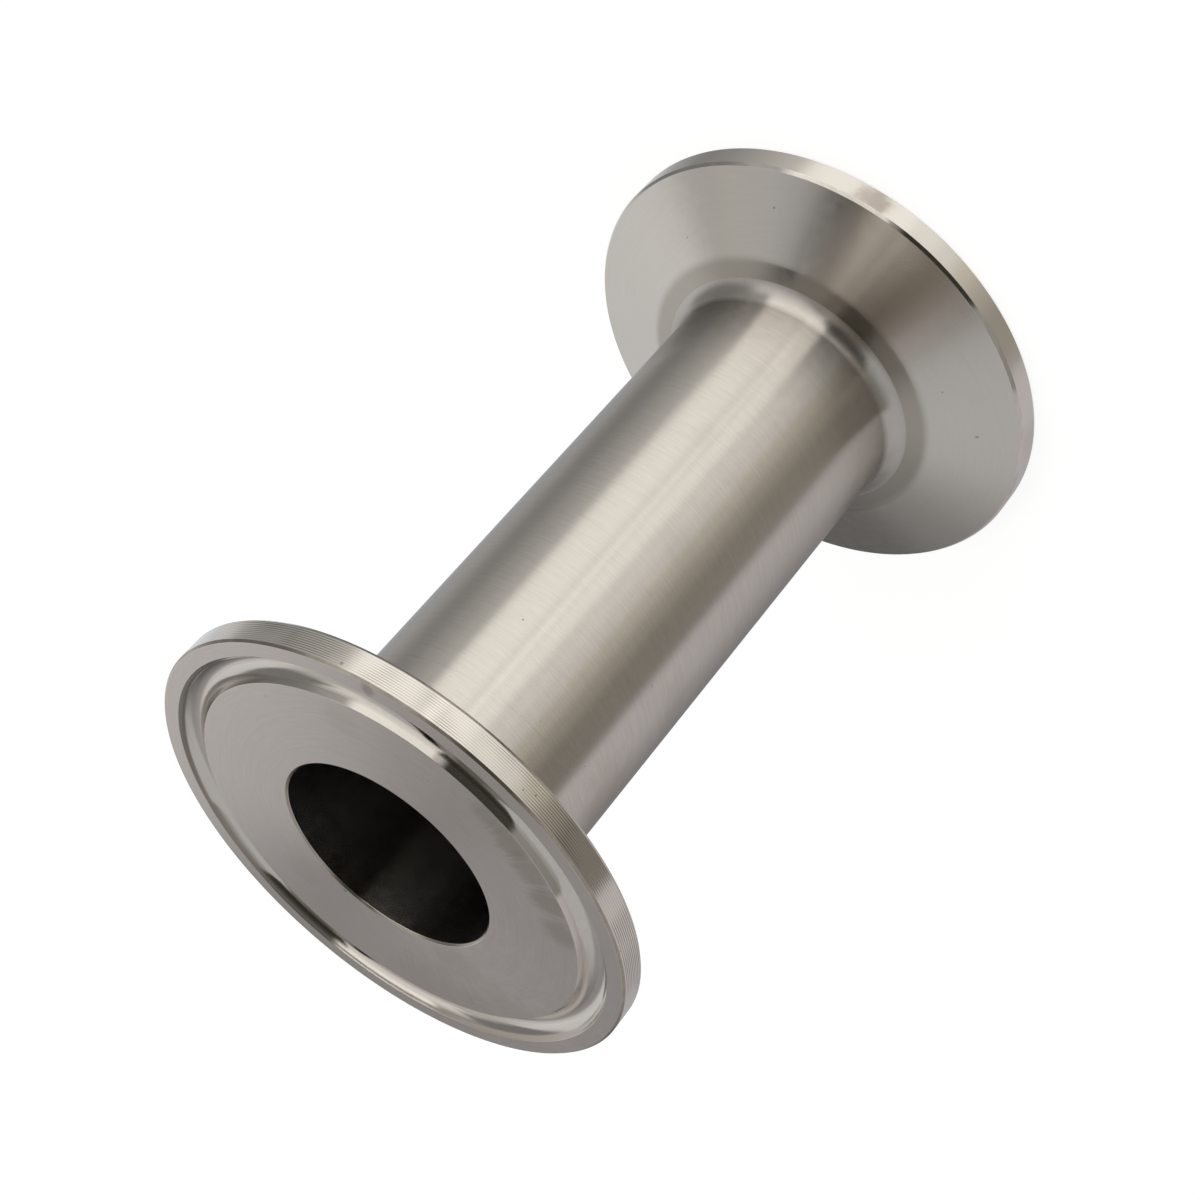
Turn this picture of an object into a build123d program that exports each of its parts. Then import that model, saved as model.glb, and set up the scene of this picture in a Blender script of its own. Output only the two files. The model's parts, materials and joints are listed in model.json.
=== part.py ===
from build123d import *
import os
from math import radians, tan

# Sanitary spool pipe: a straight tube with a clamp ferrule butt-welded to each end.
# Millimetres. The pipe's axis is Z, the lower face lies on z = 0 and the origin is at its centre.

# ---- the spool ----
SPOOL_LENGTH = 76.2  # face to face, 3 in
TUBE_OUTER_DIAMETER = 25.4  # 1 in tube
TUBE_WALL = 1.65
FERRULE_HEIGHT = 12.7  # face to weld, a short weld ferrule

# ---- the clamp rim ----
FERRULE_DIAMETER = 50.5
RIM_HEIGHT = 2.85  # from the face to the start of the clamp cone, chamfers included
RIM_FACE_CHAMFER = 0.22
RIM_BACK_CHAMFER = 0.25
CLAMP_ANGLE = 20.0  # degrees between the clamp cone and the plane of the face

# ---- the foot of the clamp cone ----
FOOT_BAND_WIDTH = 3.4  # a flatter turned band round the tube, where the cutter blends the cone
FOOT_BAND_ANGLE = 15.0  # degrees from the plane of the face
ROOT_FILLET = 2.0

# ---- the gasket groove in the face ----
OUTER_LAND_WIDTH = 1.79  # flat land between the rim's cylinder and the groove
GROOVE_WIDTH = 2.98
GROOVE_WALL_DEPTH = 1.22  # where the straight walls end and the hollow floor starts
GROOVE_DEPTH = 1.32  # at the middle of the floor
GROOVE_INNER_DRAFT = 33.0  # degrees between the groove's inner wall and the pipe's axis
GROOVE_OUTER_DRAFT = 28.0

# ---- the mouth of the bore ----
BORE_CHAMFER = 0.3

FERRULE_RADIUS = FERRULE_DIAMETER / 2
TUBE_RADIUS = TUBE_OUTER_DIAMETER / 2
BORE_RADIUS = TUBE_RADIUS - TUBE_WALL
TUBE_LENGTH = SPOOL_LENGTH - 2 * FERRULE_HEIGHT


def groove_section():
    """The groove's outer edge, the three points of its hollow floor, and its inner edge."""
    outer_edge = FERRULE_RADIUS - OUTER_LAND_WIDTH
    inner_edge = outer_edge - GROOVE_WIDTH
    outer_foot = outer_edge - GROOVE_WALL_DEPTH * tan(radians(GROOVE_OUTER_DRAFT))
    inner_foot = inner_edge + GROOVE_WALL_DEPTH * tan(radians(GROOVE_INNER_DRAFT))
    floor_middle = (outer_foot + inner_foot) / 2
    floor_arc = (
        (outer_foot, GROOVE_WALL_DEPTH),
        (floor_middle, GROOVE_DEPTH),
        (inner_foot, GROOVE_WALL_DEPTH),
    )
    return outer_edge, floor_arc, inner_edge


def ferrule_section():
    """One ferrule's section as (radius, height) points, with its face on height 0 and its weld end up."""
    foot_radius = TUBE_RADIUS + FOOT_BAND_WIDTH
    cone_slope = tan(radians(CLAMP_ANGLE))
    foot_height = RIM_HEIGHT + (FERRULE_RADIUS - foot_radius) * cone_slope
    root_height = foot_height + FOOT_BAND_WIDTH * tan(radians(FOOT_BAND_ANGLE))
    groove_outer_edge, floor_arc, groove_inner_edge = groove_section()
    back = [
        (TUBE_RADIUS, FERRULE_HEIGHT),
        (TUBE_RADIUS, root_height),
        (foot_radius, foot_height),
        # The back chamfer meets the cone on the cone's own line, so that the cone's angle is kept.
        (FERRULE_RADIUS - RIM_BACK_CHAMFER, RIM_HEIGHT + RIM_BACK_CHAMFER * cone_slope),
        (FERRULE_RADIUS, RIM_HEIGHT - RIM_BACK_CHAMFER),
        (FERRULE_RADIUS, RIM_FACE_CHAMFER),
        (FERRULE_RADIUS - RIM_FACE_CHAMFER, 0),
        (groove_outer_edge, 0),
        floor_arc[0],
    ]
    front = [
        floor_arc[2],
        (groove_inner_edge, 0),
        (BORE_RADIUS + BORE_CHAMFER, 0),
        (BORE_RADIUS, BORE_CHAMFER),
        (BORE_RADIUS, FERRULE_HEIGHT),
        (TUBE_RADIUS, FERRULE_HEIGHT),
    ]
    return back, floor_arc, front


def ferrule():
    """One ferrule, turned from its section."""
    back, floor_arc, front = ferrule_section()
    # Only the root between the foot band and the neck is filleted.
    corner_radii = [ROOT_FILLET] + [0] * (len(back) - 3)
    outline = FilletPolyline(*on_section_plane(back), radius=corner_radii)
    outline += ThreePointArc(*on_section_plane(floor_arc))
    outline += Polyline(*on_section_plane(front))
    return revolve(make_face(outline), Axis.Z)


def on_section_plane(points):
    """Section points (radius, height) as points in the XZ plane."""
    return [(radius, 0, height) for radius, height in points]


def tube():
    """The straight tube between the two weld planes."""
    ring = Circle(TUBE_RADIUS) - Circle(BORE_RADIUS)
    return Pos(0, 0, FERRULE_HEIGHT) * extrude(ring, TUBE_LENGTH)


def main():
    lower_ferrule = ferrule()
    upper_ferrule = Pos(0, 0, SPOOL_LENGTH) * Rot(180, 0, 0) * ferrule()
    pieces = {
        "lower_ferrule": lower_ferrule,
        "tube": tube(),
        "upper_ferrule": upper_ferrule,
    }
    os.makedirs("parts", exist_ok=True)
    for name, piece in pieces.items():
        piece.label = name
        export_step(piece, f"parts/{name}.step")


main()
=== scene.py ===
"""A sanitary spool pipe of turned and brushed stainless steel, standing on its lower face.

Metres throughout, in the CAD frame: the pipe's axis is Z and the floor is z = 0. An angle on the part is
measured about Z from the side that faces the camera, -Y, and grows towards +X.
"""

import json
from math import cos, pi, radians, sin, tan

import bpy
from mathutils import Matrix, Vector


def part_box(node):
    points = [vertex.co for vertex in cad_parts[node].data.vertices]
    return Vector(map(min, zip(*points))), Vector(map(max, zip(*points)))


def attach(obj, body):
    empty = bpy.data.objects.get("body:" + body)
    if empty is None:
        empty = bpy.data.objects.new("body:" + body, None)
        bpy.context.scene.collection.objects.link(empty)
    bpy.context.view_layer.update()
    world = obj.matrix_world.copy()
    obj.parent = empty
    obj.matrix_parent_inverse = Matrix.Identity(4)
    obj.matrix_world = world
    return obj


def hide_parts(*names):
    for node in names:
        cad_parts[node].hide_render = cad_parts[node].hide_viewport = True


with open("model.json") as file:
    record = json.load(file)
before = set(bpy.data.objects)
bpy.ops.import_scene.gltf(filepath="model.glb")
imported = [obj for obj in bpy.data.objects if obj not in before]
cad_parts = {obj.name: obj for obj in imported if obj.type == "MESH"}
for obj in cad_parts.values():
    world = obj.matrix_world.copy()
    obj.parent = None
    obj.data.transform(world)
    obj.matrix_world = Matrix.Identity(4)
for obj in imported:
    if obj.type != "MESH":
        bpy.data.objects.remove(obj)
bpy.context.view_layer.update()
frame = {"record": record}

MM = 0.001

# ---- sizes taken from the frame ----
tube_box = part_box("tube")
upper_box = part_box("upper_ferrule")
mounts = {mount["name"]: mount for mount in frame["record"]["mounts"]}

BORE_RADIUS = mounts["flow_bore"]["dims"]["r_mm"] * MM
FERRULE_RADIUS = mounts["upper_clamp_rim"]["dims"]["r_mm"] * MM
TUBE_RADIUS = tube_box[1].x
LOWER_WELD = tube_box[0].z
UPPER_WELD = tube_box[1].z
TOP = upper_box[1].z
FERRULE_HEIGHT = TOP - UPPER_WELD

# ---- the ferrule's section, as in the CAD ----
RIM_HEIGHT = 2.85 * MM
RIM_FACE_CHAMFER = 0.22 * MM
RIM_BACK_CHAMFER = 0.25 * MM
CLAMP_ANGLE = radians(20)
FOOT_BAND_WIDTH = 3.4 * MM
FOOT_BAND_ANGLE = radians(15)
ROOT_FILLET = 2.0 * MM
OUTER_LAND_WIDTH = 1.79 * MM
GROOVE_WIDTH = 2.98 * MM

# ---- finer than the CAD: the groove's round floor, broken edges and turning rings ----
GROOVE_OUTER_DRAFT = radians(12)
GROOVE_INNER_DRAFT = radians(25)
GROOVE_DEPTH = 1.38 * MM
FLOOR_FILL = 0.98  # how much of the groove's floor its two arcs take up
BORE_CHAMFER = 0.2 * MM
EDGE_BREAK = 0.05 * MM
FOOT_BLEND = 2.0 * MM  # radius of the arc between the clamp cone and the band at its foot
RIM_RING_PITCH = 0.235 * MM
RIM_RING_DEPTH = 0.005 * MM
GROOVE_RING_PITCH = 0.12 * MM
GROOVE_RING_DEPTH = 0.002 * MM

TURNS = 288  # segments round each turned piece
GUARD = 0.012 * MM  # distance from a corner to the ring that keeps its shading local
ARC_STEP = radians(7)
POINTS_PER_RING = 6


# ---------------------------------------------------------------- sections

def unit(vector):
    return vector / vector.length


def straight(start, end):
    """A straight stretch, with a guard point near each end."""
    run = end - start
    if run.length < 4 * GUARD:
        return [start, end]
    step = unit(run) * GUARD
    return [start, start + step, end - step, end]


def ringed(start, end, pitch, depth):
    """A straight stretch cut with turning rings: shallow scallops with a crest between each two."""
    run = end - start
    rings = max(1, round(run.length / pitch))
    inward = Vector((run.y, -run.x)) / run.length
    points = []
    for ring in range(rings):
        for step in range(POINTS_PER_RING):
            share = step / POINTS_PER_RING
            hollow = 4 * share * (1 - share) * depth
            points.append(start + run * ((ring + share) / rings) + inward * hollow)
    return points + [end]


def rounded(before, corner, after, radius):
    """The arc of that radius that replaces a corner between two straight stretches."""
    to_before = unit(before - corner)
    to_after = unit(after - corner)
    half_angle = to_before.angle(to_after) / 2
    reach = radius / tan(half_angle)
    centre = corner + unit(to_before + to_after) * (radius / sin(half_angle))
    start = corner + to_before * reach - centre
    end = corner + to_after * reach - centre
    turn = start.angle_signed(end)
    steps = max(2, round(abs(turn) / ARC_STEP))
    # angle_signed grows clockwise, and a 2D rotation grows the other way.
    return [centre + Matrix.Rotation(-turn * step / steps, 2) @ start for step in range(steps + 1)]


def section(corners):
    """A closed outline, and the finish of each stretch of it, from corners.

    A corner is (point, radius, finish of its arc, finish of the stretch after it, that stretch's rings).
    """
    count = len(corners)
    arcs = []
    for index, (corner, radius, *_) in enumerate(corners):
        before = corners[index - 1][0]
        after = corners[(index + 1) % count][0]
        arcs.append(rounded(before, corner, after, radius) if radius else [corner])
    outline = []
    finishes = []
    for index, (_, _, arc_finish, finish, rings) in enumerate(corners):
        start = arcs[index][-1]
        end = arcs[(index + 1) % count][0]
        stretch = ringed(start, end, *rings) if rings else straight(start, end)
        outline += arcs[index][:-1] + stretch[:-1]
        finishes += [arc_finish] * (len(arcs[index]) - 1) + [finish] * (len(stretch) - 1)
    return outline, finishes


def ferrule_corners(rim_finish, rim_rings, groove_rings):
    """The ferrule's corners as (radius, distance from its face), from the weld round to the bore."""
    foot_radius = TUBE_RADIUS + FOOT_BAND_WIDTH
    foot_height = RIM_HEIGHT + (FERRULE_RADIUS - foot_radius) * tan(CLAMP_ANGLE)
    root_height = foot_height + FOOT_BAND_WIDTH * tan(FOOT_BAND_ANGLE)
    cone_start = RIM_HEIGHT + RIM_BACK_CHAMFER * tan(CLAMP_ANGLE)
    rim_start = RIM_HEIGHT - RIM_BACK_CHAMFER
    groove_outer = FERRULE_RADIUS - OUTER_LAND_WIDTH
    groove_inner = groove_outer - GROOVE_WIDTH
    outer_foot = groove_outer - GROOVE_DEPTH * tan(GROOVE_OUTER_DRAFT)
    inner_foot = groove_inner + GROOVE_DEPTH * tan(GROOVE_INNER_DRAFT)
    # One radius rounds both corners of the floor and nearly fills it.
    outer_share = tan((pi / 2 - GROOVE_OUTER_DRAFT) / 2)
    inner_share = tan((pi / 2 - GROOVE_INNER_DRAFT) / 2)
    floor_radius = FLOOR_FILL * (outer_foot - inner_foot) / (outer_share + inner_share)
    return [
        (Vector((TUBE_RADIUS, FERRULE_HEIGHT)), 0, "", "brushed_tube", None),
        (Vector((TUBE_RADIUS, root_height)), ROOT_FILLET, "root", "cone", None),
        (Vector((foot_radius, foot_height)), FOOT_BLEND, "cone", "cone", None),
        (Vector((FERRULE_RADIUS - RIM_BACK_CHAMFER, cone_start)), EDGE_BREAK, "edge", "edge", None),
        (Vector((FERRULE_RADIUS, rim_start)), EDGE_BREAK, "edge", rim_finish, rim_rings),
        (Vector((FERRULE_RADIUS, RIM_FACE_CHAMFER)), EDGE_BREAK, "edge", "chamfer", None),
        (Vector((FERRULE_RADIUS - RIM_FACE_CHAMFER, 0)), EDGE_BREAK, "edge", "face", None),
        (Vector((groove_outer, 0)), EDGE_BREAK, "groove", "groove", None),
        (Vector((outer_foot, GROOVE_DEPTH)), floor_radius, "groove", "groove", None),
        (Vector((inner_foot, GROOVE_DEPTH)), floor_radius, "groove", "groove", groove_rings),
        (Vector((groove_inner, 0)), EDGE_BREAK, "edge", "face", None),
        (Vector((BORE_RADIUS + BORE_CHAMFER, 0)), EDGE_BREAK, "edge", "chamfer", None),
        (Vector((BORE_RADIUS, BORE_CHAMFER)), EDGE_BREAK, "edge", "bore", None),
        (Vector((BORE_RADIUS, FERRULE_HEIGHT)), 0, "", "bore", None),
    ]


# ---------------------------------------------------------------- turned pieces

def turned(name, node, slot, outline, finishes, to_height):
    """A closed turned solid from an outline of (radius, distance); to_height turns a distance into z."""
    rows = len(outline)
    vertices = []
    for turn in range(TURNS):
        angle = 2 * pi * turn / TURNS
        for radius, distance in outline:
            vertices.append((radius * sin(angle), -radius * cos(angle), to_height(distance)))
    faces = []
    for turn in range(TURNS):
        here = turn * rows
        there = (turn + 1) % TURNS * rows
        for row in range(rows):
            above = (row + 1) % rows
            faces.append((here + row, there + row, there + above, here + above))
    mesh = bpy.data.meshes.new(name)
    mesh.from_pydata(vertices, [], faces)
    names = list(dict.fromkeys(finishes))
    for finish in names:
        mesh.materials.append(materials[finish])
    row_slots = [names.index(finish) for finish in finishes]
    mesh.polygons.foreach_set("material_index", row_slots * TURNS)
    mesh.update()
    piece = bpy.data.objects.new(name, mesh)
    bpy.context.collection.objects.link(piece)
    mesh.shade_smooth()
    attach(piece, "root")
    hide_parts(node)
    return piece


def tube_section():
    corners = [
        (Vector((TUBE_RADIUS, LOWER_WELD)), 0, "", "brushed_tube", None),
        (Vector((TUBE_RADIUS, UPPER_WELD)), 0, "", "bore", None),
        (Vector((BORE_RADIUS, UPPER_WELD)), 0, "", "bore", None),
        (Vector((BORE_RADIUS, LOWER_WELD)), 0, "", "bore", None),
    ]
    return section(corners)


def build_pieces():
    rim_rings = (RIM_RING_PITCH, RIM_RING_DEPTH)
    groove_rings = (GROOVE_RING_PITCH, GROOVE_RING_DEPTH)
    upper = section(ferrule_corners("ringed_rim", rim_rings, groove_rings))
    lower = section(ferrule_corners("rim", None, groove_rings))
    turned("turned_upper_ferrule", "upper_ferrule", "turned_steel", *upper, lambda distance: TOP - distance)
    turned("turned_lower_ferrule", "lower_ferrule", "turned_steel", *lower, lambda distance: distance)
    turned("brushed_tube", "tube", "brushed_steel", *tube_section(), lambda height: height)


# ---------------------------------------------------------------- materials

class Nodes:
    """Short calls for building one node tree."""

    def __init__(self, tree):
        self.tree = tree
        tree.nodes.clear()

    def add(self, kind, values=None, **settings):
        node = self.tree.nodes.new(kind)
        for name, value in settings.items():
            setattr(node, name, value)
        for name, value in (values or {}).items():
            if isinstance(value, bpy.types.NodeSocket):
                self.tree.links.new(value, node.inputs[name])
            else:
                node.inputs[name].default_value = value
        return node

    def math(self, operation, *values):
        node = self.tree.nodes.new("ShaderNodeMath")
        node.operation = operation
        for socket, value in zip(node.inputs, values):
            if isinstance(value, bpy.types.NodeSocket):
                self.tree.links.new(value, socket)
            else:
                socket.default_value = value
        return node.outputs[0]

    def mix(self, share, first, second):
        """A colour between first and second."""
        node = self.tree.nodes.new("ShaderNodeMix")
        node.data_type = "RGBA"
        for index, value in ((0, share), (6, first), (7, second)):
            if isinstance(value, bpy.types.NodeSocket):
                self.tree.links.new(value, node.inputs[index])
            else:
                node.inputs[index].default_value = value
        return node.outputs[2]

    def step(self, value, start, end, low=0.0, high=1.0):
        """Low before start, high after end, and a smooth rise between."""
        ranges = {"Value": value, "From Min": start, "From Max": end, "To Min": low, "To Max": high}
        return self.add("ShaderNodeMapRange", ranges, interpolation_type="SMOOTHSTEP").outputs["Result"]

    def noise(self, place, scale, detail, roughness=0.5):
        values = {"Vector": place, "Scale": scale, "Detail": detail, "Roughness": roughness}
        return self.add("ShaderNodeTexNoise", values).outputs["Fac"]


TURNED_STEEL = Vector((0.63, 0.595, 0.555))
BRUSHED_STEEL = Vector((0.56, 0.529, 0.493))
# Duller steel: the dull ring crests, and the cone's foot, where it is darker partly as painted shade in the
# corner by the tube.
DULL_AND_SHADED_STEEL = Vector((0.435, 0.405, 0.36))
ROOT_STEEL = Vector((0.56, 0.53, 0.495))
CHAMFER_STEEL = Vector((0.4, 0.36, 0.31))
BORE_STEEL = Vector((0.53, 0.51, 0.47))
# A brown for real stains, also used by marks that paint shade at the cone's foot and on the face.
STAIN_AND_SHADE = (0.2, 0.13, 0.08, 1)
PIT = (0.01, 0.01, 0.01, 1)

# Each finish: its colour, its roughness, how bright it stays at a glancing angle, and how much the streaks
# change its colour.
FINISHES = {
    "brushed_tube": (BRUSHED_STEEL, 0.22, 0.55, 0.17),
    "root": (ROOT_STEEL, 0.26, 0.6, 0.1),
    "cone": (TURNED_STEEL, 0.16, 1.0, 0.06),
    "edge": (TURNED_STEEL, 0.12, 1.0, 0.3),
    "chamfer": (CHAMFER_STEEL, 0.2, 1.0, 0.5),
    "rim": (TURNED_STEEL, 0.16, 1.0, 0.06),
    "ringed_rim": (TURNED_STEEL, 0.14, 1.0, 0.04),
    "groove": (TURNED_STEEL, 0.1, 1.0, 0.12),
    "face": (TURNED_STEEL, 0.2, 1.0, 0.14),
    "bore": (BORE_STEEL, 0.16, 1.0, 0.1),
}
FOOT_SHADE_FROM, FOOT_SHADE_TO = 15.6 * MM, 16.8 * MM  # the painted shade at the cone's foot, where it meets the tube, partly a duller finish, fades out between these radii

# Streaks run round the part: their noise is slow in X and Y, and fast along the section.
STREAKS_ROUND, STREAKS_ACROSS = 300.0, 8000.0
STREAK_SLANT = 0.12  # leans them a little, so that they are not perfect circles
STREAK_SHARE = 0.75  # of the change in colour, where the blotches make the rest
STREAK_RELIEF = 0.002 * MM
BLOTCHES = 900.0  # the scale of the coarser noise
UNEVEN_ROUGHNESS = 0.08  # how far the blotches change the roughness
QUARTER_TURN = 0.25  # turns the blur from round the axis to along the section

# Wiped marks on the face run outwards.
WIPES_ROUND, WIPES_OUTWARD = 48.0, 180.0

# The rings turned in the upper rim have dull crests, which are clear in patches. A crest starts and is full
# at these shares of the pitch from the middle of a ring.
CREST_START, CREST_FULL = 0.2, 0.4
CREST_TONE = 0.6
RING_PATCHES = 170.0
PATCH_START, PATCH_FULL = 0.35, 0.6
WORN_RINGS, CLEAR_RINGS = 0.2, 1.0

# Marks on the steel, some of them painted shade, by finish: heading in degrees, distance from the axis and
# height in mm, size in mm, strength and tone.
MARKS = {
    "brushed_tube": [
        (-9.0, 12.7, 39.0, 3.0, 0.05, STAIN_AND_SHADE), (-62.0, 12.7, 60.0, 5.0, 0.12, STAIN_AND_SHADE),
        (-58.0, 12.7, 48.0, 3.0, 0.08, STAIN_AND_SHADE), (15.0, 12.7, 27.0, 2.0, 0.05, STAIN_AND_SHADE),
        (20.8, 12.7, 55.5, 0.11, 0.95, PIT), (-40.0, 12.7, 61.5, 0.1, 0.5, PIT),
        (-40.5, 12.7, 50.6, 0.12, 0.4, PIT), (28.0, 12.7, 64.2, 0.07, 0.4, PIT),
        (-11.5, 12.7, 62.5, 0.07, 0.4, PIT),
    ],
    "ringed_rim": [
        (-11.0, 25.25, 75.2, 0.12, 0.7, PIT), (-13.5, 25.25, 74.7, 0.12, 0.7, PIT),
        (-52.0, 25.25, 75.9, 0.16, 0.5, PIT), (31.0, 25.25, 75.6, 0.2, 0.4, PIT),
    ],
    "rim": [(12.5, 25.25, 1.6, 2.6, 0.4, STAIN_AND_SHADE)],
    "cone": [
        # The three marks 14.2 mm from the axis paint shade, in a brown tint, along the crease where the
        # root fillet meets the cone's foot.
        (2.0, 14.2, 7.4, 1.1, 0.4, STAIN_AND_SHADE), (-8.0, 14.2, 7.4, 1.1, 0.45, STAIN_AND_SHADE),
        (-16.0, 14.2, 7.4, 1.1, 0.4, STAIN_AND_SHADE), (-57.0, 21.0, 4.4, 0.3, 0.45, STAIN_AND_SHADE),
        (36.0, 21.5, 4.2, 0.14, 0.5, PIT), (-40.0, 18.5, 5.3, 0.16, 0.35, PIT),
        (70.0, 19.0, 5.1, 0.14, 0.4, PIT),
    ],
    "face": [
        (-12.0, 19.6, 76.2, 2.2, 0.22, STAIN_AND_SHADE), (-21.0, 19.4, 76.2, 2.6, 0.3, STAIN_AND_SHADE),
        (-31.0, 19.2, 76.2, 2.8, 0.3, STAIN_AND_SHADE), (-42.0, 19.2, 76.2, 2.8, 0.34, STAIN_AND_SHADE),
        (-54.0, 19.2, 76.2, 2.6, 0.28, STAIN_AND_SHADE), (160.0, 15.0, 76.2, 3.0, 0.06, STAIN_AND_SHADE),
        # The broad marks at -118, -142 and -124 degrees paint shade, in a brown tint, on the -X side of the
        # face.
        (35.0, 18.0, 76.2, 2.6, 0.08, STAIN_AND_SHADE), (-118.0, 20.5, 76.2, 6.0, 0.12, STAIN_AND_SHADE),
        (-142.0, 19.5, 76.2, 7.0, 0.14, STAIN_AND_SHADE), (-124.0, 13.5, 76.2, 3.5, 0.1, STAIN_AND_SHADE),
        (176.0, 11.6, 76.2, 0.3, 0.4, PIT), (-150.0, 17.0, 76.2, 0.12, 0.4, PIT),
        (5.0, 17.0, 76.2, 0.12, 0.3, PIT), (62.0, 19.0, 76.2, 0.1, 0.5, PIT),
        (-75.0, 14.0, 76.2, 0.1, 0.5, PIT), (24.0, 24.4, 76.2, 1.0, 0.4, STAIN_AND_SHADE),
    ],
    "groove": [(20.0, 22.2, 75.4, 0.7, 0.8, PIT)],
}
MARK_CORE = 0.3  # the share of a mark's size within which it has its full strength
MARK_RAGGEDNESS = 0.9  # the range over which its edge wanders, as a share of its size


def spot(nodes, place, mark, noise):
    """How strongly a mark shows at each place, with an edge made ragged by the noise."""
    heading, radius, height, size, strength, _ = mark
    turn = radians(heading)
    size *= MM
    centre = Vector((radius * sin(turn), -radius * cos(turn), height)) * MM
    offset = nodes.add("ShaderNodeVectorMath", {0: place, 1: centre}, operation="DISTANCE").outputs["Value"]
    wander = MARK_RAGGEDNESS * size
    reach = nodes.math("MULTIPLY_ADD", noise, wander, nodes.math("SUBTRACT", offset, wander / 2))
    return nodes.step(reach, MARK_CORE * size, size, strength, 0.0)


def marked(nodes, place, finish, colour, noise):
    for mark in MARKS.get(finish, []):
        colour = nodes.mix(spot(nodes, place, mark, noise), colour, mark[-1])
    return colour


def radial_streaks(nodes, axes, radius):
    """Noise drawn out from the axis, for marks that were wiped across the face."""
    place = nodes.add("ShaderNodeCombineXYZ", {
        "X": nodes.math("MULTIPLY", nodes.math("DIVIDE", axes["X"], radius), WIPES_ROUND),
        "Y": nodes.math("MULTIPLY", nodes.math("DIVIDE", axes["Y"], radius), WIPES_ROUND),
        "Z": nodes.math("MULTIPLY", radius, WIPES_OUTWARD),
    }).outputs[0]
    return nodes.noise(place, scale=1.0, detail=4.0, roughness=0.7)


def ring_lines(nodes, place, height, colour):
    """The dull crests between the rings of the upper rim, clear in some places and worn in others."""
    turns = nodes.math("DIVIDE", nodes.math("SUBTRACT", TOP - RIM_FACE_CHAMFER, height), RIM_RING_PITCH)
    off_middle = nodes.math("ABSOLUTE", nodes.math("SUBTRACT", nodes.math("FRACT", turns), 0.5))
    crest = nodes.step(off_middle, CREST_START, CREST_FULL)
    patches = nodes.noise(place, scale=RING_PATCHES, detail=1.0)
    strength = nodes.step(patches, PATCH_START, PATCH_FULL, WORN_RINGS, CLEAR_RINGS)
    return nodes.mix(nodes.math("MULTIPLY", crest, strength), colour, (*(DULL_AND_SHADED_STEEL * CREST_TONE), 1))


def steel(name, base, roughness, edge_tint, contrast):
    """Steel cut or brushed round the axis: reflections are sharp round it and blurred along the section."""
    material = bpy.data.materials.new(name)
    material.use_nodes = True
    nodes = Nodes(material.node_tree)
    place = nodes.add("ShaderNodeTexCoord").outputs["Object"]
    axes = nodes.add("ShaderNodeSeparateXYZ", {"Vector": place}).outputs
    radius = nodes.math("SQRT", nodes.math("ADD", nodes.math("MULTIPLY", axes["X"], axes["X"]),
                                           nodes.math("MULTIPLY", axes["Y"], axes["Y"])))
    along_section = nodes.math("ADD", radius, axes["Z"])
    slanted = nodes.math("MULTIPLY_ADD", axes["X"], STREAK_SLANT, along_section)
    streak_place = nodes.add("ShaderNodeCombineXYZ", {
        "X": nodes.math("MULTIPLY", axes["X"], STREAKS_ROUND),
        "Y": nodes.math("MULTIPLY", axes["Y"], STREAKS_ROUND),
        "Z": nodes.math("MULTIPLY", slanted, STREAKS_ACROSS),
    }).outputs[0]
    streaks = nodes.noise(streak_place, scale=1.0, detail=4.0, roughness=0.65)
    blotches = nodes.noise(place, scale=BLOTCHES, detail=3.0, roughness=0.6)
    blotch_tone = nodes.math("MULTIPLY", blotches, 1 - STREAK_SHARE)
    tone = nodes.math("MULTIPLY_ADD", streaks, STREAK_SHARE, blotch_tone)
    colour = nodes.mix(tone, (*(base * (1 - contrast)), 1), (*(base * (1 + contrast)), 1))
    # Painted shade: the cone's foot, in the corner where it meets the tube, takes the darker, partly duller
    # colour.
    if name == "cone":
        colour = nodes.mix(nodes.step(radius, FOOT_SHADE_FROM, FOOT_SHADE_TO), (*DULL_AND_SHADED_STEEL, 1), colour)
    if name == "ringed_rim":
        colour = ring_lines(nodes, place, axes["Z"], colour)
    raggedness = radial_streaks(nodes, axes, radius) if name == "face" else blotches
    colour = marked(nodes, place, name, colour, raggedness)
    uneven = nodes.math("MULTIPLY_ADD", blotches, UNEVEN_ROUGHNESS, roughness - UNEVEN_ROUGHNESS / 2)
    bump = nodes.add("ShaderNodeBump", {"Height": streaks, "Strength": 1.0, "Distance": STREAK_RELIEF})
    tangent = nodes.add("ShaderNodeTangent", direction_type="RADIAL", axis="Z").outputs[0]
    shader = nodes.add("ShaderNodeBsdfPrincipled", {
        "Base Color": colour, "Metallic": 1.0, "Roughness": uneven, "Anisotropic": 1.0,
        "Specular Tint": (edge_tint, edge_tint, edge_tint, 1),
        "Anisotropic Rotation": QUARTER_TURN, "Tangent": tangent, "Normal": bump.outputs[0],
    })
    nodes.add("ShaderNodeOutputMaterial", {"Surface": shader.outputs[0]})
    return material


materials = {name: steel(name, *values) for name, values in FINISHES.items()}
build_pieces()


# ---------------------------------------------------------------- studio

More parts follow.
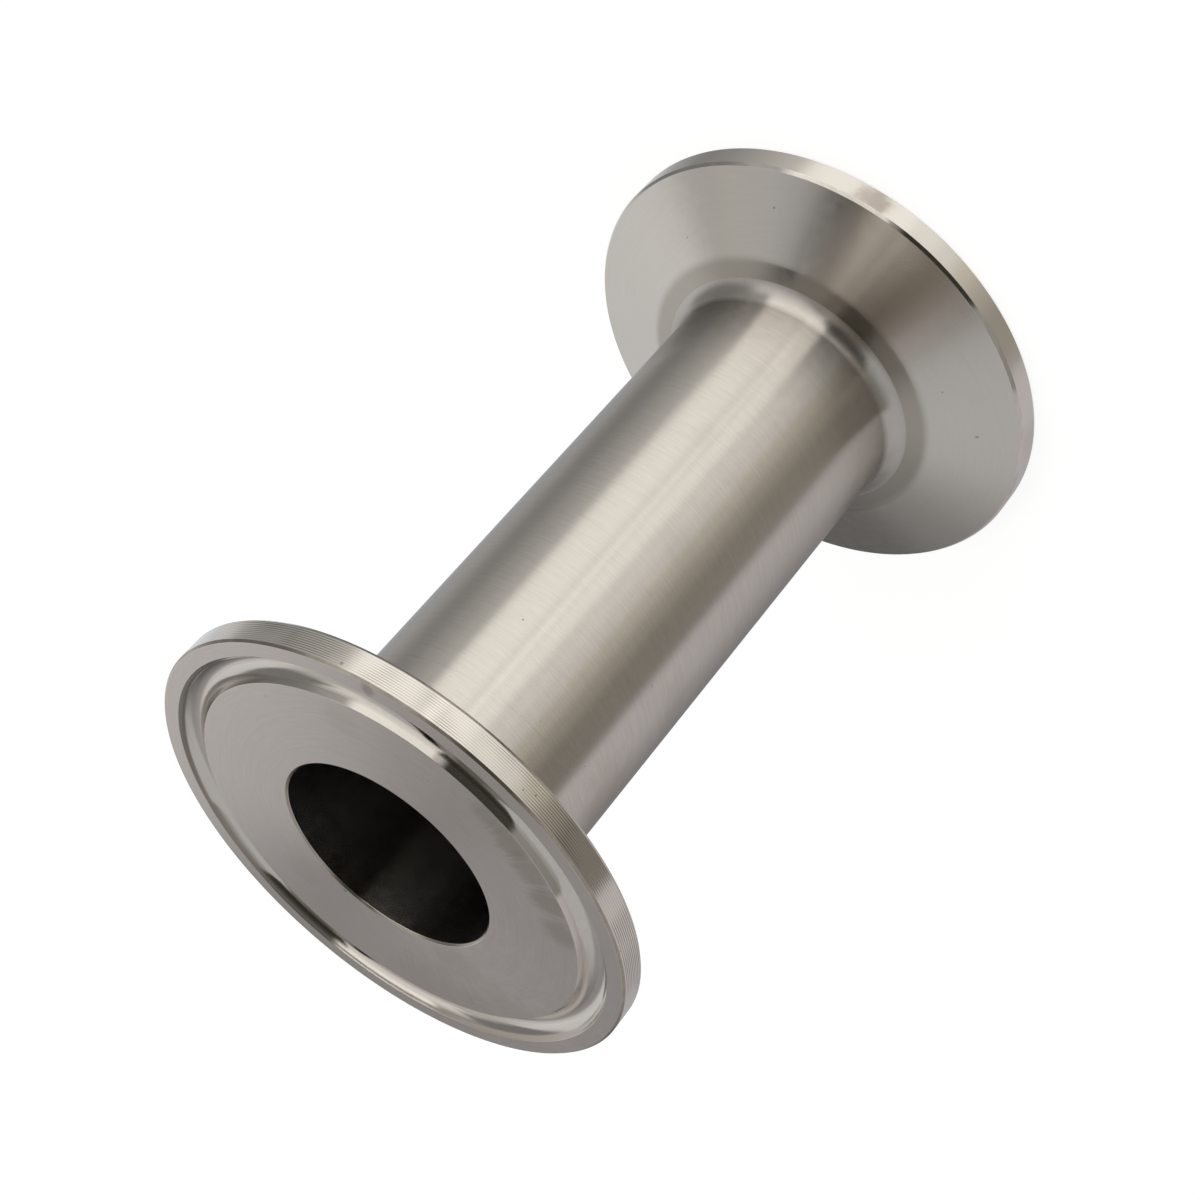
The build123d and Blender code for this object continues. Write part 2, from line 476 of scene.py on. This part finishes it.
# Pale panels and darker flags stand round the part in rings, one above the other, with strips overhead.
# Each entry is where a panel begins, its brightness, the softness of that edge, and its tint. Rings are
# measured by heading in degrees, where 0 is -Y, and the overhead strips by X in hundredths.
PLAIN = (1.0, 1.0, 1.0)
WARM = (1.0, 0.985, 0.94)
GOLD = (1.0, 0.94, 0.82)
ROSE = (1.0, 0.965, 0.975)
COOL = (1.0, 1.05, 1.1)
LOWEST_PANELS = [
    (-180, 0.5, 0, ROSE), (-118, 0.66, 14, ROSE), (-78, 0.5, 8, GOLD), (-46, 0.62, 14, GOLD),
    (-34, 0.8, 12, GOLD), (-22, 1.0, 12, WARM), (-10, 1.15, 10, WARM), (5, 1.33, 7, WARM),
    (20.6, 0.8, 2.5, WARM), (29, 1.1, 3, WARM), (40, 1.3, 4, WARM), (63.5, 0.7, 8, WARM),
    (78, 0.55, 12, WARM), (92, 0.42, 12, PLAIN), (104, 0.34, 10, PLAIN), (120, 0.2, 8, PLAIN),
    (154, 0.4, 8, PLAIN),
]
LOW_PANELS = [
    (-180, 0.45, 0, ROSE), (-160, 0.52, 12, ROSE), (-140, 0.6, 14, ROSE), (-118, 0.7, 14, ROSE),
    (-78, 0.27, 4, GOLD), (-46, 0.47, 14, GOLD), (-34, 0.75, 12, GOLD), (-22, 1.0, 12, WARM),
    (-10, 1.15, 10, WARM), (5, 1.33, 7, WARM), (20.6, 1.56, 2.5, WARM), (25.8, 1.2, 3, WARM),
    (31.5, 1.37, 4, WARM), (63.5, 0.7, 8, WARM), (78, 0.55, 12, WARM), (92, 0.42, 12, PLAIN),
    (104, 0.38, 10, PLAIN), (116, 0.52, 10, PLAIN), (128, 0.74, 12, PLAIN), (144, 0.84, 14, COOL),
    (172, 0.5, 10, COOL),
]
HORIZON_PANELS = [
    (-180, 0.12, 0, PLAIN), (-158, 0.2, 8, PLAIN), (-148, 0.32, 8, ROSE), (-136, 0.5, 10, ROSE),
    (-118, 0.62, 14, ROSE), (-78, 0.25, 4, GOLD), (-38, 0.1, 8, GOLD), (8, 1.45, 6, WARM),
    (62, 0.3, 8, WARM), (92, 0.25, 12, PLAIN), (136, 0.76, 12, PLAIN), (176, 0.13, 6, PLAIN),
]
MIDDLE_PANELS = [
    (-180, 0.57, 0, ROSE), (-178, 0.49, 6, ROSE), (-166, 0.4, 10, PLAIN), (-146, 0.5, 6, PLAIN),
    (-141, 0.6, 6, PLAIN), (-78, 0.48, 6, PLAIN), (-38, 0.03, 4, GOLD), (14, 0.92, 4, WARM),
    (84, 0.25, 10, PLAIN), (131, 0.84, 8, PLAIN), (166, 0.7, 10, ROSE), (177, 0.59, 6, ROSE),
]
HIGH_PANELS = [
    (-180, 0.3, 0, PLAIN), (-165, 0.5, 12, PLAIN), (-150, 0.6, 10, PLAIN), (-38, 0.05, 4, GOLD),
    (14, 0.9, 4, WARM), (100, 0.6, 10, WARM), (165, 0.3, 12, PLAIN),
]
# Each ring above the lowest: the elevations in degrees between which it takes over, and its panels.
UPPER_RINGS = [
    (-41, -39.6, LOW_PANELS), (-14, -4, HORIZON_PANELS), (2, 40, MIDDLE_PANELS), (34, 50, HIGH_PANELS),
]
TOP_STRIPS = [
    (-100, 0.59, 0, PLAIN), (-27, 0.24, 5, GOLD), (-15, 0.16, 9, GOLD), (4.5, 0.26, 4, GOLD),
    (8, 0.33, 4, WARM), (11, 0.25, 5, WARM), (16.8, 0.0, 2.5, WARM), (27.4, 0.56, 2, PLAIN),
    (44, 0.58, 10, PLAIN),
]
TOP_START, TOP_END = 50, 62  # elevations


def panel_colour(level, tint):
    return (*(Vector(tint) * level), 1)


def panelled(nodes, place, panels):
    """A colour for each place, from panels with soft edges."""
    colour = panel_colour(panels[0][1], panels[0][3])
    for start, level, softness, tint in panels[1:]:
        share = nodes.step(place, start - softness / 2, start + softness / 2)
        colour = nodes.mix(share, colour, panel_colour(level, tint))
    return colour


def build_world():
    world = bpy.data.worlds.new("studio")
    bpy.context.scene.world = world
    world.use_nodes = True
    nodes = Nodes(world.node_tree)
    direction = nodes.add("ShaderNodeTexCoord").outputs["Generated"]
    axes = nodes.add("ShaderNodeSeparateXYZ", {"Vector": direction}).outputs
    turn = nodes.math("ARCTAN2", axes["X"], nodes.math("MULTIPLY", axes["Y"], -1.0))
    heading = nodes.math("DEGREES", turn)
    elevation = nodes.math("DEGREES", nodes.math("ARCSINE", axes["Z"]))
    room = panelled(nodes, heading, LOWEST_PANELS)
    for start, end, panels in UPPER_RINGS:
        room = nodes.mix(nodes.step(elevation, start, end), room, panelled(nodes, heading, panels))
    strips = panelled(nodes, nodes.math("MULTIPLY", axes["X"], 100.0), TOP_STRIPS)
    room = nodes.mix(nodes.step(elevation, TOP_START, TOP_END), room, strips)
    is_camera = nodes.add("ShaderNodeLightPath").outputs["Is Camera Ray"]
    colour = nodes.mix(is_camera, room, (1, 1, 1, 1))
    background = nodes.add("ShaderNodeBackground", {"Color": colour, "Strength": 1.0})
    nodes.add("ShaderNodeOutputWorld", {"Surface": background.outputs[0]})


FLOOR_SIZE = 6.0
FLOOR_HEIGHT = -0.02 * MM  # just under the lower face, so that the two don't share a plane
FLOOR_GREY = 0.45
FLOOR_GLOW = 0.82  # brings the lit floor up to white for the camera, and leaves the part's shadow


def floor_material():
    material = bpy.data.materials.new("floor")
    material.use_nodes = True
    nodes = Nodes(material.node_tree)
    grey = (FLOOR_GREY, FLOOR_GREY, FLOOR_GREY, 1)
    matte = nodes.add("ShaderNodeBsdfDiffuse", {"Color": grey}).outputs[0]
    glow = nodes.add("ShaderNodeEmission", {"Color": (1, 1, 1, 1), "Strength": FLOOR_GLOW}).outputs[0]
    both = nodes.add("ShaderNodeAddShader", {0: matte, 1: glow}).outputs[0]
    is_camera = nodes.add("ShaderNodeLightPath").outputs["Is Camera Ray"]
    lit = nodes.add("ShaderNodeMixShader", {0: is_camera, 1: matte, 2: both}).outputs[0]
    nodes.add("ShaderNodeOutputMaterial", {"Surface": lit})
    return material


def circle(radius):
    turns = [2 * pi * step / TURNS for step in range(TURNS)]
    return [Vector((sin(turn), -cos(turn), 0)) * radius for turn in turns]


def build_floor():
    """A pale floor: one spot under the part, which closes its bore, and the rest round it.

    The metal reflects the spot, but looks through the rest of the floor at the studio's low panels.
    """
    spot_edge = circle(FERRULE_RADIUS)
    ring_faces = []
    for step in range(TURNS):
        after = (step + 1) % TURNS
        ring_faces.append((step, TURNS + step, TURNS + after, after))
    floor_parts = [
        ("floor_spot", spot_edge, [range(TURNS)]),
        ("floor", spot_edge + circle(FLOOR_SIZE), ring_faces),
    ]
    material = floor_material()
    for name, vertices, faces in floor_parts:
        mesh = bpy.data.meshes.new(name)
        mesh.from_pydata(vertices, [], faces)
        mesh.materials.append(material)
        floor = bpy.data.objects.new(name, mesh)
        bpy.context.collection.objects.link(floor)
        floor.location.z = FLOOR_HEIGHT
        floor.visible_glossy = name == "floor_spot"


build_world()
build_floor()


# ---------------------------------------------------------------- camera

CAMERA_LENS = 72.24
CAMERA_DISTANCE = 232.3 * MM
CAMERA_ELEVATION = radians(32.29)
CAMERA_ROLL = radians(139.3)
CAMERA_AIM = Vector((0.45, 0, 41.12)) * MM
SENSOR_WIDTH = 36.0
CLIP_START, CLIP_END = 0.01, 50.0


def build_camera():
    """The camera stands on the -Y side, above the part, and is rolled until the top points down left."""
    data = bpy.data.cameras.new("camera")
    data.lens = CAMERA_LENS
    data.sensor_width = SENSOR_WIDTH
    data.clip_start = CLIP_START
    data.clip_end = CLIP_END
    camera = bpy.data.objects.new("camera", data)
    bpy.context.collection.objects.link(camera)
    back = Vector((0, -cos(CAMERA_ELEVATION), sin(CAMERA_ELEVATION)))
    camera.location = CAMERA_AIM + back * CAMERA_DISTANCE
    upright = (-back).to_track_quat("-Z", "Y")
    rolled = Matrix.Rotation(-CAMERA_ROLL, 3, "Z")
    camera.rotation_euler = (upright.to_matrix() @ rolled).to_euler()
    bpy.context.scene.camera = camera


build_camera()
bpy.context.scene.view_settings.view_transform = "Standard"
